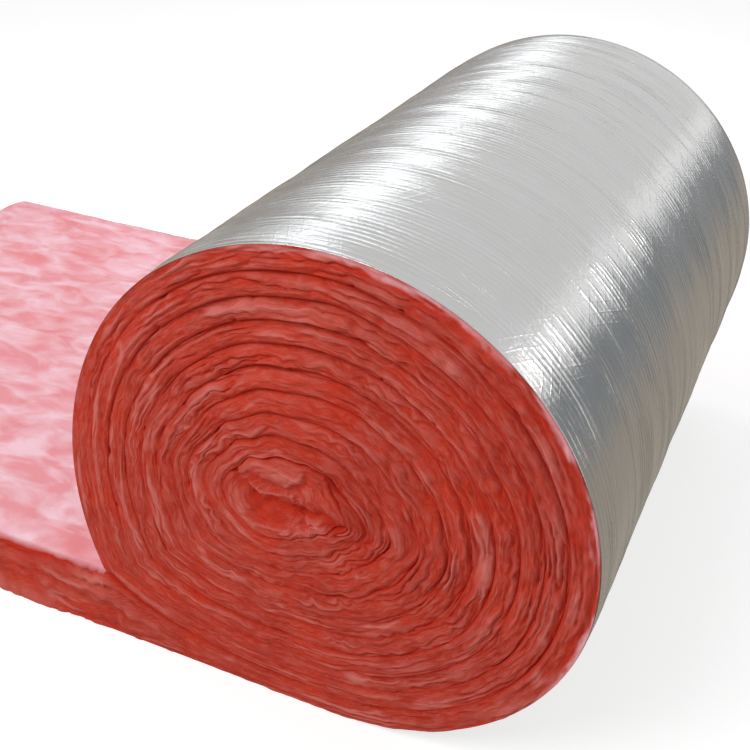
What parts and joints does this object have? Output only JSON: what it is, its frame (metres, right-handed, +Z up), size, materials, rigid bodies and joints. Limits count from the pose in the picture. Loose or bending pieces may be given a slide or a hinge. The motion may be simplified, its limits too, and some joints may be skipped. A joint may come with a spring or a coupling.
{
  "type": "glass wool insulation blanket",
  "caption": "Foil-faced glass wool insulation blanket, rolled up with its outer end peeled off and lying flat.",
  "frame": {"origin": "on the floor under the middle of the roll, half way along its width", "axes": "+Z up, Y along the roll's axis, the flat peeled end towards -X"},
  "size_m": [1.929, 1.2, 0.767],
  "materials": {
    "glass_wool": "soft matt fibre, coral red",
    "foil": "reinforced aluminium foil, satin, with yarns showing through"
  },
  "bodies": {
    "root": {"glass_wool_blanket": "glass_wool", "foil_facing": "foil"}
  },
  "joints": []
}
